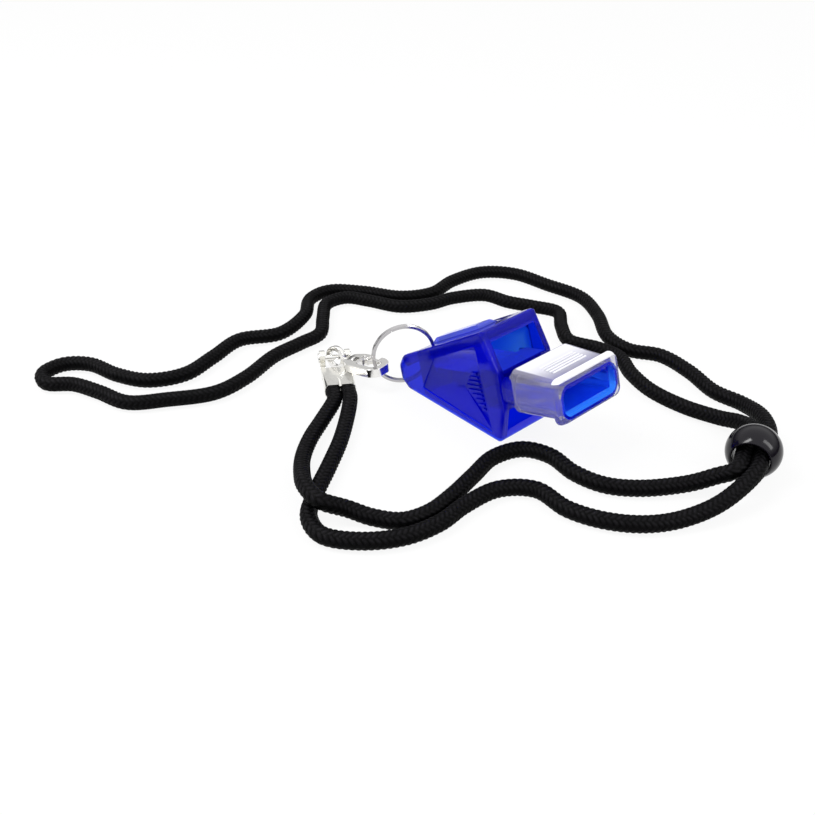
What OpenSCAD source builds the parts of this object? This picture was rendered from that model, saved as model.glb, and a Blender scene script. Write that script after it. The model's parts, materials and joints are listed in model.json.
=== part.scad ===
/* [Whistle body] */
// Width over both side covers
body_w = 22.2; // [18:0.1:26]
// Lean of the top and bottom faces to the whistle's axis, in degrees
half_angle = 17.15; // [14:0.05:19]
// Height across the tail end
tail_h = 10.4; // [9:0.1:12]
// How far the rounded tail stands behind its corners
tail_out = 2.4; // [1:0.1:2.4]
// Height across the front corners
front_h = 31.7; // [28:0.1:34]
// How far the lower front corner stands ahead of the upper one
chin_out = 1; // [0:0.1:2]
// Height of the flat nose round the mouth tube
nose_h = 11; // [9.6:0.1:12]
// How far the nose stands ahead of the front corners
nose_out = 4; // [2.5:0.1:5]
// How far the mouth tube stands below the middle of the wedge
mouth_drop = 1; // [0:0.1:2]
// Radius of the tail's corners
tail_round = 2.6; // [1.5:0.1:3.2]
// Radius of the front corners
front_round = 1.2; // [1:0.1:3]

/* [Side covers] */
// Thickness of a side cover
cover_t = 2.6; // [2:0.1:3.2]
// Width of the raised rim round a cover's finger panel
rim_w = 3.3; // [2.5:0.1:4]
// Depth of the finger panel at its edges
panel_d = 0.4; // [0.2:0.1:0.8]
// Depth of the finger panel at its valley
valley_d = 1.5; // [0.9:0.1:1.8]
// Number of grip ribs on a finger panel
rib_count = 15; // [9:1:19]
// Height of a grip rib
rib_h = 0.7; // [0.3:0.1:0.8]

/* [Chambers] */
// Thickness of the roof and floor of the sound chambers
wall_t = 3.3; // [2.4:0.1:4]
// Gap between a chamber's side and the cover that closes it
seat_gap = 0.02; // [0.01:0.01:0.05]
// Length of the upper sound chamber behind the front corner
upper_len = 23; // [18:0.5:24]
// Length of the lower sound chamber behind the front corner
lower_len = 17; // [12:0.5:22]
// Thickness of the wall between the two chambers
divider_t = 2.6; // [1.8:0.1:4]

/* [Mouth tube] */
// Length of the mouth tube in front of the nose
tube_len = 21.5; // [18:0.1:24]
// Width of the mouth tube
tube_w = 20.4; // [17:0.1:21]
// Height of the mouth tube
tube_h = 7.8; // [6.6:0.1:8.4]
// Radius of the mouth tube's edges
tube_round = 2.4; // [1.2:0.1:3]
// Wall of the mouth tube
tube_wall = 1.2; // [1:0.1:1.6]
// How far the rim at the mouth end stands out from the tube
flange_out = 0.8; // [0.5:0.1:1]
// Length of the rim at the mouth end
flange_t = 2.2; // [2:0.1:2.6]
// Depth of the step inside the mouth end
step_d = 1.4; // [1:0.1:1.6]
// Wall of the rim round the step
step_wall = 0.9; // [0.8:0.1:1.2]
// Length of a sound window behind the grip
window_len = 2.2; // [2:0.1:4]
// Width of a sound window
window_w = 16; // [13:0.1:16]
// Length of the splitter that divides the breath
splitter_len = 9; // [6:0.5:12]

/* [Mouth grip] */
// Length of the soft mouth grip
grip_len = 15.8; // [12:0.1:16]
// Thickness of the grip beside the tube at its rear
grip_rear_side = 1.5; // [1:0.1:2.2]
// Mean thickness of the grip over and under the tube at its rear
grip_rear_wall = 2.2; // [2:0.1:3]
// Thickness of the grip beside the tube behind its lip
grip_front_side = 1.1; // [0.9:0.1:1.5]
// Mean thickness of the grip over and under the tube behind its lip
grip_front_wall = 1.3; // [1.2:0.1:1.8]
// How far the middle of the grip's rear stands over the middle of the tube
grip_rear_up = 1.4; // [0:0.1:1.4]
// How far the middle of the grip's front stands over the middle of the tube
grip_front_up = 0.6; // [0:0.1:0.6]
// Height of the bite lip over the grip
lip_h = 1; // [0.8:0.1:1.2]
// Radius of the grip's long edges
grip_round = 2.2; // [1.6:0.1:3]
// Thickness of the thin skirt behind the grip
skirt_t = 0.7; // [0.5:0.1:1]
// Number of ridges on each face of the grip
ridge_count = 5; // [3:1:6]
// How far the skirt reaches past a sound window on each side
skirt_side = 0.8; // [0.4:0.1:1]
// Length of a ridge across the grip
ridge_run = 13; // [10:0.5:16]
// Distance between ridges
ridge_pitch = 1.1; // [0.9:0.1:1.4]
// Height of a ridge
ridge_out = 0.35; // [0.2:0.05:0.5]

/* [Tail and thumb ridge] */
// Radius of the tail bar that the ring goes round
bar_r = 1.5; // [1.2:0.1:1.8]
// Thickness of the centre fin that holds the bar
fin_t = 1.2; // [1:0.1:1.8]
// Distance of the bar from the tail's rear end
bar_back = 2.4; // [1.9:0.1:2.8]
// Height of the bar over the whistle's axis
bar_up = 3; // [2.4:0.1:3.2]
// Length of the ring window in the tail
window_tail = 8; // [7:0.1:9]
// Width of the raised thumb ridge
ridge_w = 8; // [6:0.5:12]
// Height of the thumb ridge
ridge_h = 1.3; // [0.8:0.1:1.8]
// Length of the thumb ridge
ridge_len = 27; // [22:0.5:30]

/* [Split ring] */
// Outer diameter of the split ring
ring_d = 19; // [18:0.5:22]
// Width of the ring's section across both turns
ring_w = 1.3; // [1.2:0.1:1.8]
// Thickness of the ring's section
ring_t = 1; // [0.8:0.1:1.2]

/* [Snap clasp] */
// Length of the claw from its heel to its nose
claw_len = 14; // [12:0.5:16]
// Width of the claw
claw_w = 8.6; // [7.6:0.1:10]
// Thickness of the claw
claw_t = 2.6; // [2.2:0.1:3.2]
// Length of the claw's opening
mouth_len = 7.6; // [6.6:0.1:8.4]
// Width of the claw's opening
mouth_w = 4.6; // [4.2:0.1:5.2]
// Radius of the lever pin
lever_pin_r = 0.6; // [0.5:0.05:0.8]
// Outer radius of the swivel eye
eye_r = 3.7; // [3.4:0.1:4.2]
// Hole radius of the swivel eye
eye_hole_r = 2.3; // [2:0.1:2.6]

/* [Crimp and cord] */
// Diameter of the braided cord
cord_d = 4.5; // [4:0.1:5]
// Length of the crimp from its pin to its mouth
crimp_len = 17; // [14:0.5:20]
// Width of the crimp
crimp_w = 9.2; // [8.8:0.1:10.4]
// Wall of the crimp's sheet metal
sheet_t = 0.5; // [0.4:0.05:0.7]
// Outer radius of the crimp's rolled end
roll_r = 2.3; // [2:0.1:2.6]
// Radius of the crimp pin
crimp_pin_r = 0.8; // [0.7:0.05:1]
// Diameter of the slide bead
bead_d = 14.3; // [13:0.1:16]
// Diameter of the hole through the slide bead
bead_hole_d = 9.5; // [9.2:0.1:10]

/* [Hidden] */
$fn = 64;
over = 1;
arc_steps = 7;
run_gap = 0.05;

// The whistle's own frame: u runs forward from the point where the top and bottom faces would meet,
// v runs up, and the whistle lies on its bottom face
rise = tan(half_angle);
tail_u = tail_h / 2 / rise;
front_u = front_h / 2 / rise;
rear_u = tail_u - tail_out;
nose_u = front_u + nose_out;
chin_u = front_u + chin_out;
rest_mid = (tail_u + chin_u) / 2 / cos(half_angle);
half_w = body_w / 2;
core_half = half_w - cover_t;
window_u = rear_u + window_tail;
tail_flat_share = 0.42;
bar_u = rear_u + bar_back;
tube_end_u = nose_u + tube_len;
grip_u = tube_end_u - grip_len;
lip_u = tube_end_u - flange_t - skirt_t;
grip_rear_w = tube_w + grip_rear_side * 2;
grip_rear_h = tube_h + grip_rear_wall * 2;
grip_front_w = tube_w + grip_front_side * 2;
grip_front_h = tube_h + grip_front_wall * 2;
nose_top = nose_h / 2 - mouth_drop;
nose_low = nose_h / 2 + mouth_drop;

// Body outline at a distance inside the outer faces
function body_outline(inset) =
    let (slope_in = inset / cos(half_angle))
    rounded([[rear_u + inset, -tail_h * tail_flat_share / 2],
             [tail_u + inset, -tail_h / 2 + slope_in - inset * rise],
             [chin_u - inset, -chin_u * rise + slope_in + inset * rise],
             [nose_u - inset, -nose_low],
             [nose_u - inset, nose_top],
             [front_u - inset, front_h / 2 - slope_in - inset * rise],
             [tail_u + inset, tail_h / 2 - slope_in + inset * rise],
             [rear_u + inset, tail_h * tail_flat_share / 2]],
            [tail_round, tail_round, front_round, front_round, front_round, front_round, tail_round, tail_round]);

// Closed outline with an arc of its own radius at each corner
function unit2(a) = a / norm(a);
function corner(a, b, c, r) =
    let (u = unit2(a - b),
         w = unit2(c - b),
         half = acos(max(-1, min(1, u * w))) / 2,
         reach = min(r / tan(half), norm(a - b) / 2, norm(c - b) / 2),
         radius = reach * tan(half),
         mid = b + unit2(u + w) * radius / sin(half),
         from = b + u * reach - mid,
         to = b + w * reach - mid,
         start = atan2(from[1], from[0]),
         sweep = atan2(from[0] * to[1] - from[1] * to[0], from * to))
    [for (i = [0 : arc_steps]) mid + radius * [cos(start + sweep * i / arc_steps), sin(start + sweep * i / arc_steps)]];
function rounded(p, r) =
    [for (i = [0 : len(p) - 1])
        each corner(p[(i + len(p) - 1) % len(p)], p[i], p[(i + 1) % len(p)], r[i])];
function rounded_box(w, h, r) =
    rounded([[-w / 2, -h / 2], [w / 2, -h / 2], [w / 2, h / 2], [-w / 2, h / 2]], [r, r, r, r]);

// Places a child drawn in the whistle's own frame, with u along X, the width along Y and v along Z
module on_whistle() {
    translate([-rest_mid, 0, 0])
        rotate([0, -half_angle, 0])
            children();
}

// Extrudes an outline in u and v across the width
module across(width) {
    rotate([90, 0, 0])
        linear_extrude(height = width, center = true)
            children();
}

// Extrudes an outline in width and v along u
module along(from_u, length) {
    translate([from_u, 0, 0])
        rotate([90, 0, 90])
            linear_extrude(height = length)
                children();
}

// Moulded middle of the whistle
function face_v(u) = u * rise;
function roof_v(u) = u * rise - wall_t / cos(half_angle);
chamber_round_shares = [0.03, 0.18, 0.6, 0.24, 0.24, 0.15, 0.03];
function chamber(corner_u, length, nose_v) =
    [[corner_u + nose_out * 2, nose_v],
     [corner_u - wall_t, nose_v],
     [corner_u - wall_t * 2, divider_t],
     [corner_u - length, divider_t],
     [corner_u - length, roof_v(corner_u - length)],
     [corner_u - wall_t / 3, roof_v(corner_u)],
     [corner_u + nose_out * 2, roof_v(corner_u)]];

module chamber_shape(corner_u, length, nose_v) {
    polygon(rounded(chamber(corner_u, length, nose_v), chamber_round_shares * wall_t));
}

module core_profile() {
    difference() {
        polygon(body_outline(0));
        translate([rear_u - over, -front_h])
            square([window_tail + over, front_h * 2]);
        chamber_shape(front_u, upper_len, nose_top);
        mirror([0, 1])
            chamber_shape(chin_u, lower_len, nose_low);
    }
}

module thumb_ridge() {
    intersection() {
        rotate([0, -half_angle, 0])
            translate([window_u / cos(half_angle), 0, 0])
                along(0, ridge_len)
                    polygon(rounded([[-ridge_w / 2, -ridge_h], [ridge_w / 2, -ridge_h],
                                     [ridge_w / 2 - ridge_h, ridge_h], [-ridge_w / 2 + ridge_h, ridge_h]],
                                    [ridge_h / 9, ridge_h / 9, ridge_h / 2, ridge_h / 2]));
        across(ridge_w * 2)
            polygon([[window_u, face_v(window_u) - ridge_h * 2],
                     [window_u, face_v(window_u)],
                     [window_u + ridge_h * 2, face_v(window_u + ridge_h * 2) + ridge_h * 2],
                     [front_u - wall_t * 3, face_v(front_u - wall_t * 3) + ridge_h * 1.2],
                     [front_u - wall_t, face_v(front_u - wall_t) - ridge_h * 2]]);
    }
}

module tail_fin() {
    across(fin_t)
        polygon(rounded([[bar_u - bar_r * 0.7, bar_up - bar_r * 0.7],
                         [window_u + over, -tail_h / 4],
                         [window_u + over, face_v(window_u) + ridge_h],
                         [bar_u + bar_r, bar_up + bar_r * 1.6],
                         [bar_u - bar_r * 0.7, bar_up + bar_r * 0.7]],
                        [bar_r / 3, bar_r, bar_r / 3, bar_r, bar_r / 3]));
}

// The splitter's root fills the nose, and its blade runs from side wall to side wall of the tube
module splitter_blade(from_u, width) {
    start = nose_u + seat_gap;
    edge = nose_u + window_len;
    tip = nose_u + splitter_len;
    root = tube_h / 2 - tube_wall;
    across(width)
        polygon(concat(from_u < start ? [[from_u, root], [from_u, -root]] : [],
                       [[start, -root], [edge, -tube_wall / 2], [tip, -tube_wall / 8],
                        [tip, tube_wall / 8], [edge, tube_wall / 2], [start, root]]));
}

module splitter() {
    splitter_blade(nose_u - over, window_w);
    splitter_blade(nose_u + seat_gap, tube_w - tube_wall);
}

module mouth_tube() {
    difference() {
        union() {
            along(nose_u + seat_gap, tube_len - seat_gap)
                polygon(rounded_box(tube_w, tube_h, tube_round));
            along(nose_u - tube_wall, tube_wall * 2)
                square([core_half * 2 - tube_wall * 2, tube_h - tube_wall / 2], center = true);
            along(tube_end_u - flange_t, flange_t)
                polygon(rounded_box(tube_w + flange_out * 2, tube_h + flange_out * 2, tube_round + flange_out));
        }
        along(nose_u, tube_len + over)
            polygon(rounded_box(tube_w - tube_wall * 2, tube_h - tube_wall * 2, tube_round - tube_wall / 2));
        along(tube_end_u - step_d, step_d + over)
            polygon(rounded_box(tube_w + (flange_out - step_wall) * 2, tube_h + (flange_out - step_wall) * 2,
                                tube_round));
        translate([nose_u, -window_w / 2, -tube_h])
            cube([window_len, window_w, tube_h * 2]);
    }
}

module whistle_core() {
    color("royalblue")
        on_whistle() {
            across(core_half * 2 - seat_gap * 2)
                core_profile();
            thumb_ridge();
            tail_fin();
            translate([bar_u, 0, bar_up])
                rotate([90, 0, 0])
                    cylinder(r = bar_r, h = core_half * 2 - seat_gap * 2, center = true);
            translate([0, 0, -mouth_drop]) {
                mouth_tube();
                splitter();
            }
        }
}

// Side cover, drawn for the left side with its outer face at the body's half width
panel_tail = [window_u + rim_w * 0.4, -face_v(window_u) * 0.54];
panel_top = [window_u + rim_w * 2.6, face_v(window_u + rim_w * 2.6) - rim_w * 1.08];
panel_front = [front_u - rim_w * 0.8, face_v(front_u - rim_w * 0.8) - rim_w * 1.05];
panel_low = [chin_u - rim_w * 0.7, -face_v(chin_u - rim_w * 0.7) + rim_w * 0.72];
valley_tail = [panel_tail[0] + rim_w * 1.4, -rim_w / 2];
rib_left = [(panel_tail[0] + panel_low[0]) / 2 + rim_w, -rim_w / 3];
rib_top = [panel_front[0] - rim_w * 0.6, panel_front[1] - rim_w * 1.15];
rib_low = [panel_low[0] - rim_w / 4, panel_low[1] + rim_w * 0.4];

module panel_cut() {
    edge = half_w - panel_d;
    deep = half_w - valley_d;
    top = half_w + over;
    polyhedron(
        points = [[panel_tail[0], top, panel_tail[1]], [panel_top[0], top, panel_top[1]],
                  [panel_front[0], top, panel_front[1]], [panel_low[0], top, panel_low[1]],
                  [panel_tail[0], edge, panel_tail[1]], [panel_top[0], edge, panel_top[1]],
                  [panel_front[0], edge, panel_front[1]], [panel_low[0], edge, panel_low[1]],
                  [valley_tail[0], deep, valley_tail[1]], [rib_left[0], deep, rib_left[1]],
                  [rib_top[0], deep, rib_top[1]], [rib_low[0], deep, rib_low[1]]],
        faces = [[3, 2, 1, 0], [1, 5, 4, 0], [2, 6, 5, 1], [3, 7, 6, 2], [0, 4, 7, 3],
                 [5, 8, 4], [9, 8, 5], [10, 9, 5], [6, 10, 5], [11, 10, 6], [7, 11, 6],
                 [9, 11, 7], [4, 9, 7], [8, 9, 4], [10, 11, 9]]);
}

module grip_ribs() {
    pitch = (rib_top[1] - rib_low[1]) / rib_count;
    deep = half_w - valley_d;
    for (i = [0 : rib_count - 1])
        let (v = rib_low[1] + pitch * (i + 0.5),
             upper = v > rib_left[1],
             far = upper ? rib_top : rib_low,
             share = (v - rib_left[1]) / (far[1] - rib_left[1]),
             from_u = rib_left[0] + (far[0] - rib_left[0]) * share + pitch,
             to_u = rib_low[0] + (rib_top[0] - rib_low[0]) * (v - rib_low[1]) / (rib_top[1] - rib_low[1]) - pitch / 2)
        if (to_u > from_u + pitch)
            translate([from_u, deep - rib_h / 2, v - pitch / 4])
                cube([to_u - from_u, rib_h * 1.5, pitch / 2]);
}

module side_cover() {
    on_whistle() {
        difference() {
            translate([0, half_w - cover_t / 2, 0])
                across(cover_t)
                    polygon(body_outline(0));
            panel_cut();
        }
        grip_ribs();
    }
}

module cover_left() {
    color("royalblue")
        side_cover();
}

module cover_right() {
    color("royalblue")
        mirror([0, 1, 0])
            side_cover();
}

// Soft sleeve over the front of the mouth tube, with a bead round the mouth end and a thin skirt behind
module grip_plate(at_u, thick, w, h, up) {
    translate([0, 0, up])
        along(at_u, thick)
            polygon(rounded_box(w, h, grip_round));
}

function grip_blend(u, rear, front) = rear + (front - rear) * (u - grip_u) / (grip_len - flange_t);
function grip_face(u) = grip_blend(u, grip_rear_h, grip_front_h) / 2;
function grip_up(u) = grip_blend(u, grip_rear_up, grip_front_up);

module grip_ridges() {
    first_u = grip_u + (grip_len - ridge_pitch * (ridge_count - 1)) / 2;
    for (side = [-1, 1], i = [0 : ridge_count - 1])
        let (u = first_u + ridge_pitch * i)
        translate([u, 0, grip_up(u) + side * grip_face(u)])
            cube([ridge_pitch / 2, ridge_run, ridge_out * 2], center = true);
}

module mouth_grip() {
    color("aliceblue", 0.6)
        on_whistle()
            translate([0, 0, -mouth_drop])
                difference() {
                    union() {
                        hull() {
                            grip_plate(grip_u, skirt_t, grip_rear_w, grip_rear_h, grip_rear_up);
                            grip_plate(lip_u, skirt_t, grip_front_w, grip_front_h, grip_front_up);
                        }
                        hull() {
                            grip_plate(lip_u, skirt_t, grip_front_w, grip_front_h, grip_front_up);
                            grip_plate(lip_u + lip_h, skirt_t, grip_front_w + lip_h * 2,
                                       grip_front_h + lip_h * 2, grip_front_up);
                            grip_plate(tube_end_u - skirt_t, skirt_t, grip_front_w + lip_h, grip_front_h + lip_h,
                                       grip_front_up);
                        }
                        along(nose_u + window_len, grip_u - nose_u - window_len + skirt_t)
                            polygon(rounded_box(window_w + skirt_side * 2, tube_h + skirt_t * 2, skirt_t / 2));
                        grip_ridges();
                    }
                    along(nose_u, tube_len + over)
                        polygon(rounded_box(tube_w, tube_h, tube_round));
                    along(tube_end_u - flange_t, flange_t + over)
                        polygon(rounded_box(tube_w + flange_out * 2, tube_h + flange_out * 2,
                                            tube_round + flange_out));
                }
}

// Two-turn ring round the tail bar, standing on the table
ring_mid_r = (ring_d - ring_t) / 2;
ring_back = 1.4;
ring_side = 9.6;
bar_x = bar_u * cos(half_angle) - bar_up * sin(half_angle) - rest_mid;
ring_at = [bar_x - ring_back, -ring_side, ring_d / 2 + ring_w / 4];
ring_turn = -30;
ring_lean = 89;
groove = ring_w / 10;
ring_slit = 0.3;
slit_turn = 25;

module on_ring() {
    translate(ring_at)
        rotate([0, ring_lean, ring_turn])
            children();
}

module split_ring() {
    color("silver")
        on_ring()
            difference() {
                rotate_extrude($fn = 72)
                    translate([ring_mid_r - ring_t / 2, -ring_w / 2])
                        polygon([[0, groove], [groove, 0], [ring_t - groove, 0], [ring_t, groove],
                                 [ring_t, ring_w / 2 - groove], [ring_t - groove, ring_w / 2],
                                 [ring_t, ring_w / 2 + groove], [ring_t, ring_w - groove],
                                 [ring_t - groove, ring_w], [groove, ring_w], [0, ring_w - groove],
                                 [0, ring_w / 2 + groove], [groove, ring_w / 2], [0, ring_w / 2 - groove]]);
                for (side = [0, 1])
                    rotate([0, 0, 180 + slit_turn * (side * 2 - 1)])
                        translate([ring_mid_r - ring_t, -ring_slit / 2, (side - 1) * ring_w])
                            cube([ring_t * 2, ring_slit, ring_w]);
            }
}

// Crimp frame: the pin's axis is across at the origin, the cord leaves along X
crimp_back = 19.65;
crimp_side = 10.4;
crimp_at = [ring_at[0] - crimp_back, ring_at[1] - crimp_side, eye_r + sheet_t / 2];
crimp_turn = -33;
strand_side = cord_d / 2;
channel_z = cord_d / 2 + sheet_t / 2;
crimp_h = cord_d + sheet_t;
knuckle_gap = 6;
crimp_taper = 6.5;
crimp_round_shares = [0.38, 0.38, 0.38, 0.08, 0.08, 0.08, 0.38];

module on_crimp() {
    translate([crimp_at[0], crimp_at[1], 0])
        rotate([0, 0, crimp_turn])
            children();
}

module crimp() {
    body_from = roll_r + eye_r - eye_hole_r;
    color("gainsboro")
        on_crimp() {
            difference() {
                union() {
                    translate([body_from + crimp_h / 2, 0, 0])
                        rotate([90, 0, 90])
                            linear_extrude(height = crimp_len - body_from - crimp_h / 2)
                                polygon(crimp_section());
                    translate([roll_r / 2, -crimp_w / 2, crimp_at[2] - roll_r])
                        cube([body_from + crimp_h / 2 - roll_r / 2 + over / 4, crimp_w, sheet_t * 2]);
                    translate([body_from + crimp_h / 4, -crimp_w / 2, sheet_t])
                        cube([crimp_h / 2, crimp_w, crimp_h - sheet_t * 2]);
                    translate([0, 0, crimp_at[2]])
                        rotate([90, 0, 0])
                            cylinder(r = roll_r, h = crimp_w, center = true);
                }
                translate([0, 0, crimp_at[2]])
                    rotate([90, 0, 0])
                        cylinder(r = crimp_pin_r + run_gap, h = crimp_w * 2, center = true);
                translate([-roll_r * 2, -knuckle_gap / 2, -over])
                    cube([roll_r * 2 + body_from + crimp_h / 6, knuckle_gap, crimp_h * 2]);
                translate([crimp_len, -crimp_w, crimp_h - sheet_t / 4])
                    rotate([0, -crimp_taper, 0])
                        translate([-crimp_len + body_from / 2, 0, 0])
                            cube([crimp_len * 2, crimp_w * 2, crimp_h]);
            }
        }
}

function crimp_section() =
    rounded([[-crimp_w / 2, 0], [crimp_w / 2, 0], [crimp_w / 2, crimp_h],
             [crimp_w / 12, crimp_h], [0, crimp_h * 0.82], [-crimp_w / 12, crimp_h], [-crimp_w / 2, crimp_h]],
            crimp_round_shares * crimp_h);

module crimp_pin() {
    head = crimp_pin_r * 0.6;
    color("silver")
        on_crimp()
            translate([0, 0, crimp_at[2]])
                rotate([90, 0, 0]) {
                    cylinder(r = crimp_pin_r, h = crimp_w + head * 2, center = true);
                    translate([0, 0, crimp_w / 2])
                        cylinder(r = crimp_pin_r * 1.8, h = head);
                    translate([0, 0, -crimp_w / 2 - head])
                        cylinder(r = crimp_pin_r * 1.8, h = head);
                }
}

// Clasp frame: X runs from the crimp pin to the claw's nose, Z is through the claw's thickness
clasp_turn = 9;
clasp_pitch = 9;
eye_roll = -8;
eye_t = 1.4;
eye_mid = (eye_hole_r - crimp_pin_r) / 2;
post_r = 1.1;
post_len = 1.6;
heel_u = eye_mid + eye_r + post_len;
head_r = 1.7;
head_t = 0.8;
lever_pin_at = [heel_u + claw_len * 0.3, claw_w * 0.24];
mouth_u = heel_u + claw_len - mouth_len - claw_w * 0.22;
slot_share = 0.145;
spring_r = 0.2;
claw_round_shares = [0.15, 0.5, 0.4, 0.4, 0.4, 0.4, 0.5, 0.15];
mouth_round_shares = [0.3, 0.48, 0.48, 0.3];
lever_round_shares = [0.09, 0.05, 0.06, 0.14, 0.09];

module on_clasp() {
    translate(crimp_at)
        rotate([0, -clasp_pitch, clasp_turn])
            children();
}

module swivel_eye() {
    color("silver")
        on_clasp()
            rotate([eye_roll, 0, 0]) {
                translate([eye_mid, 0, 0])
                    rotate([90, 0, 0])
                        difference() {
                            cylinder(r = eye_r, h = eye_t, center = true);
                            cylinder(r = eye_hole_r, h = eye_t * 2, center = true);
                        }
                rotate([0, 90, 0]) {
                    translate([0, 0, eye_mid + (eye_r + eye_hole_r) / 2])
                        cylinder(r = eye_t / 2, h = heel_u - eye_mid - (eye_r + eye_hole_r) / 2);
                    translate([0, 0, heel_u - post_r])
                        cylinder(r = post_r, h = head_r + post_r + head_t);
                    translate([0, 0, heel_u + head_r])
                        cylinder(r = head_r, h = head_t);
                }
            }
}

module claw_outline() {
    polygon(rounded([[heel_u, -claw_w * 0.3], [heel_u + claw_len * 0.25, -claw_w / 2],
                     [heel_u + claw_len * 0.8, -claw_w / 2], [heel_u + claw_len, -claw_w * 0.3],
                     [heel_u + claw_len, claw_w * 0.3], [heel_u + claw_len * 0.8, claw_w / 2],
                     [heel_u + claw_len * 0.25, claw_w / 2], [heel_u, claw_w * 0.3]],
                    claw_round_shares * claw_w));
}

module lever_slot() {
    translate([lever_pin_at[0] - claw_len * 0.12, lever_pin_at[1] - claw_w * slot_share])
        square([claw_len * 0.6, claw_w]);
}

module clasp_body() {
    slot_h = claw_t * 0.46;
    color("gainsboro")
        on_clasp()
            difference() {
                translate([0, 0, -claw_t / 2])
                    linear_extrude(height = claw_t)
                        claw_outline();
                translate([mouth_u, -mouth_w / 2, -claw_t])
                    linear_extrude(height = claw_t * 2)
                        polygon(rounded([[0, 0], [mouth_len, 0], [mouth_len, mouth_w], [0, mouth_w]],
                                        mouth_round_shares * mouth_w));
                translate([0, 0, -slot_h / 2])
                    linear_extrude(height = slot_h)
                        lever_slot();
                translate([mouth_u + mouth_len * 0.15, mouth_w / 2 - over / 2, -claw_t])
                    cube([mouth_len * 0.5, claw_w, claw_t * 2]);
                translate([lever_pin_at[0], lever_pin_at[1], 0])
                    cylinder(r = lever_pin_r, h = claw_t * 2, center = true);
                rotate([0, 90, 0]) {
                    translate([0, 0, heel_u - over])
                        cylinder(r = post_r + run_gap, h = over + head_r);
                    translate([0, 0, heel_u + head_r - run_gap])
                        cylinder(r = head_r + run_gap, h = head_t + run_gap * 2 + post_r);
                }
            }
}

module clasp_lever() {
    lever_t = claw_t * 0.38;
    color("silver")
        on_clasp()
            translate([0, 0, -lever_t / 2])
                difference() {
                    linear_extrude(height = lever_t)
                        polygon(rounded([[lever_pin_at[0] - claw_len * 0.1, lever_pin_at[1] - claw_w * 0.1],
                                         [mouth_u + mouth_len * 0.6, mouth_w / 2 + claw_w * 0.03],
                                         [mouth_u + mouth_len * 0.64, claw_w / 2 - claw_w * 0.06],
                                         [lever_pin_at[0] + claw_len * 0.06, claw_w / 2],
                                         [lever_pin_at[0] - claw_len * 0.08, claw_w * 0.72]],
                                        lever_round_shares * claw_w));
                    translate([lever_pin_at[0], lever_pin_at[1], -over])
                        cylinder(r = lever_pin_r + run_gap, h = lever_t + over * 2);
                }
}

module lever_pin() {
    color("silver")
        on_clasp()
            translate([lever_pin_at[0], lever_pin_at[1], 0])
                cylinder(r = lever_pin_r, h = claw_t, center = true);
}

module lever_spring() {
    color("gray")
        on_clasp()
            translate([mouth_u - claw_len * 0.1, lever_pin_at[1] - claw_w * slot_share + spring_r, 0])
                rotate([0, 90, 0])
                    cylinder(r = spring_r, h = claw_len * 0.095);
}

// Cord: hand-chosen points along the table, in the order that the cord runs
bead_at = [70.5, 28, bead_d / 2];
bead_turn = 110;
bead_run = 9.5;

function turned(a, p) = [p[0] * cos(a) - p[1] * sin(a), p[0] * sin(a) + p[1] * cos(a)];
function crimp_point(side, x) =
    let (q = turned(crimp_turn, [x, side * strand_side]))
    [crimp_at[0] + q[0], crimp_at[1] + q[1], channel_z];
function bead_point(side, x) =
    let (q = turned(bead_turn, [x, -side * (strand_side + run_gap)]))
    [bead_at[0] + q[0], bead_at[1] + q[1], bead_at[2]];

strand_a_route = concat(
    [crimp_point(-1, crimp_len), crimp_point(-1, crimp_len + cord_d)],
    [[-20, -42, 2.3], [-15, -50, 2.4], [-9, -57, 3], [-2, -62.5, 4.8], [5, -66.5, 6.6], [11.5, -67, 6.4],
     [15.5, -62, 3.6], [21, -58.5, 2.4], [26.5, -54, 2.3], [28.5, -47, 2.3], [27.6, -38.5, 2.3],
     [25.5, -29, 2.3], [23.5, -19.5, 2.3], [26, -11, 2.3], [33, -7.5, 2.3], [42, -8.5, 2.3], [50.5, -6.5, 2.3],
     [57.5, -0.5, 2.3], [64, 8, 3], [68.5, 14, 5]],
    [bead_point(-1, -bead_run), bead_point(-1, 0)]);

strand_b_route = concat(
    [crimp_point(1, crimp_len), crimp_point(1, crimp_len + cord_d)],
    [[-17, -35.5, 2.3], [-9, -44.5, 2.3], [-2, -54, 2.3], [5, -64, 2.3], [10.5, -70, 2.3], [18, -71.5, 2.3],
     [25.5, -66, 2.3], [31, -57.5, 2.3], [33, -48, 2.3], [32.3, -38.5, 2.3], [33.5, -28, 2.3], [40, -21, 2.3],
     [50, -21, 2.3], [59, -17.5, 2.3], [66.5, -11, 2.3], [71.5, -2.5, 2.6], [75, 7.5, 4.4]],
    [bead_point(1, -bead_run), bead_point(1, 0)]);

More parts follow.
